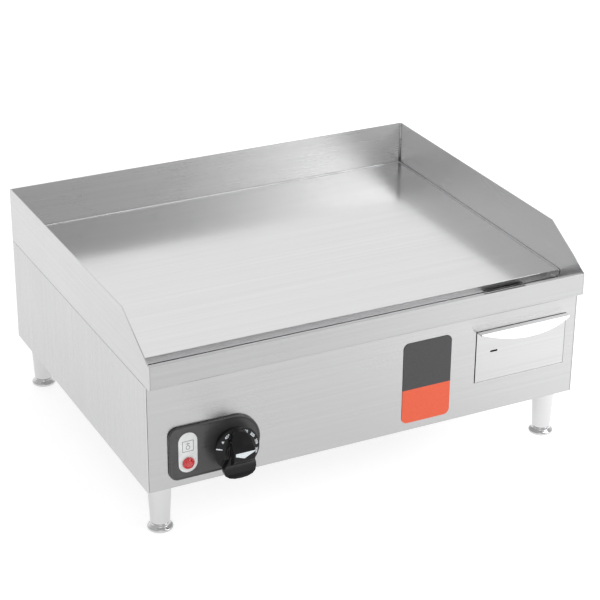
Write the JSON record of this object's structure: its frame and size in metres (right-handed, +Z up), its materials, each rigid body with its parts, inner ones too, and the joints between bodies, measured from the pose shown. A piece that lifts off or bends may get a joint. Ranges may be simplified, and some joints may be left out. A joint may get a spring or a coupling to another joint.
{
  "type": "flat top griddle",
  "caption": "Countertop electric griddle: wide flat steel plate with raised splash guards, a front grease trough and drawer, a thermostat knob and adjustable legs.",
  "frame": {"origin": "centre of the overall box on the counter surface", "axes": "+X to the user's right along the width, +Y away from the user to the back, +Z up"},
  "size_m": [0.61, 0.538, 0.291],
  "materials": {
    "stainless_sheet": "fine brushed",
    "plate_steel": "ground and polished",
    "drawer_sheet": "fine brushed",
    "leg_steel": "polished",
    "bezel_plastic": "satin moulded",
    "knob_plastic": "glossy moulded",
    "indicator_grey": "satin",
    "lamp_red": "translucent gloss",
    "pointer_silver": "foil",
    "label_print": "two-tone satin print",
    "element_sheath": "heat-darkened",
    "zinc_steel": "zinc plated",
    "mineral_wool": "matted fibre",
    "phenolic": "moulded",
    "wire_sleeve": "braided glass sleeve",
    "copper": "bare copper"
  },
  "bodies": {
    "cabinet": {"backsplash": "stainless_sheet", "left_splash_guard": "stainless_sheet", "right_splash_guard": "stainless_sheet", "front_apron": "stainless_sheet", "grease_trough": "stainless_sheet", "drain_chute": "stainless_sheet", "front_panel": "stainless_sheet", "left_side_panel": "stainless_sheet", "right_side_panel": "stainless_sheet", "back_panel": "stainless_sheet", "bottom_panel": "stainless_sheet", "griddle_plate": "plate_steel", "leg_front_left": "leg_steel", "leg_nut_front_left": "zinc_steel", "leg_front_right": "leg_steel", "leg_nut_front_right": "zinc_steel", "leg_back_left": "leg_steel", "leg_nut_back_left": "zinc_steel", "leg_back_right": "leg_steel", "leg_nut_back_right": "zinc_steel", "control_bezel": "bezel_plastic", "indicator_plate": "indicator_grey", "pilot_lamp_lens": "lamp_red", "pilot_lamp_body": "bezel_plastic", "thermostat_body": "phenolic", "label_plate": "label_print", "heating_element_left": "element_sheath", "heating_element_centre": "element_sheath", "heating_element_right": "element_sheath", "element_clamp_front": "zinc_steel", "element_clamp_middle": "zinc_steel", "element_clamp_rear": "zinc_steel", "insulation_tray": "zinc_steel", "insulation_blanket": "mineral_wool", "thermostat_bulb": "copper", "capillary_tube": "copper", "high_limit_switch": "phenolic", "drawer_runner_left": "zinc_steel", "drawer_runner_right": "zinc_steel", "drawer_runner_bracket": "zinc_steel", "terminal_block": "phenolic", "live_bus_lead": "wire_sleeve", "neutral_bus_lead": "wire_sleeve", "thermostat_supply_lead": "wire_sleeve", "heater_lead": "wire_sleeve", "neutral_supply_lead": "wire_sleeve", "cable_gland": "bezel_plastic", "gland_locknut": "zinc_steel", "earth_stud": "zinc_steel"},
    "knob": {"control_knob": "knob_plastic", "knob_pointer": "pointer_silver", "thermostat_shaft": "zinc_steel"},
    "drawer": {"drawer_front": "drawer_sheet", "drawer_pan": "drawer_sheet"},
    "foot_front_left": {"foot_front_left": "leg_steel"},
    "foot_front_right": {"foot_front_right": "leg_steel"},
    "foot_back_left": {"foot_back_left": "leg_steel"},
    "foot_back_right": {"foot_back_right": "leg_steel"}
  },
  "joints": [
    {"name": "knob_turn", "type": "hinge", "parent": "cabinet", "child": "knob", "pos_m": [-0.195, -0.25, 0.114], "axis": [0, 1, 0], "range_deg": [0, 300]},
    {"name": "drawer_slide", "type": "slide", "parent": "cabinet", "child": "drawer", "axis": [0, -1, 0], "range_m": [0, 0.33]},
    {"name": "front_left_foot_screw", "type": "slide", "parent": "cabinet", "child": "foot_front_left", "axis": [0, 0, -1], "range_m": [0, 0.02]},
    {"name": "front_right_foot_screw", "type": "slide", "parent": "cabinet", "child": "foot_front_right", "axis": [0, 0, -1], "range_m": [0, 0.02]},
    {"name": "back_left_foot_screw", "type": "slide", "parent": "cabinet", "child": "foot_back_left", "axis": [0, 0, -1], "range_m": [0, 0.02]},
    {"name": "back_right_foot_screw", "type": "slide", "parent": "cabinet", "child": "foot_back_right", "axis": [0, 0, -1], "range_m": [0, 0.02]}
  ]
}
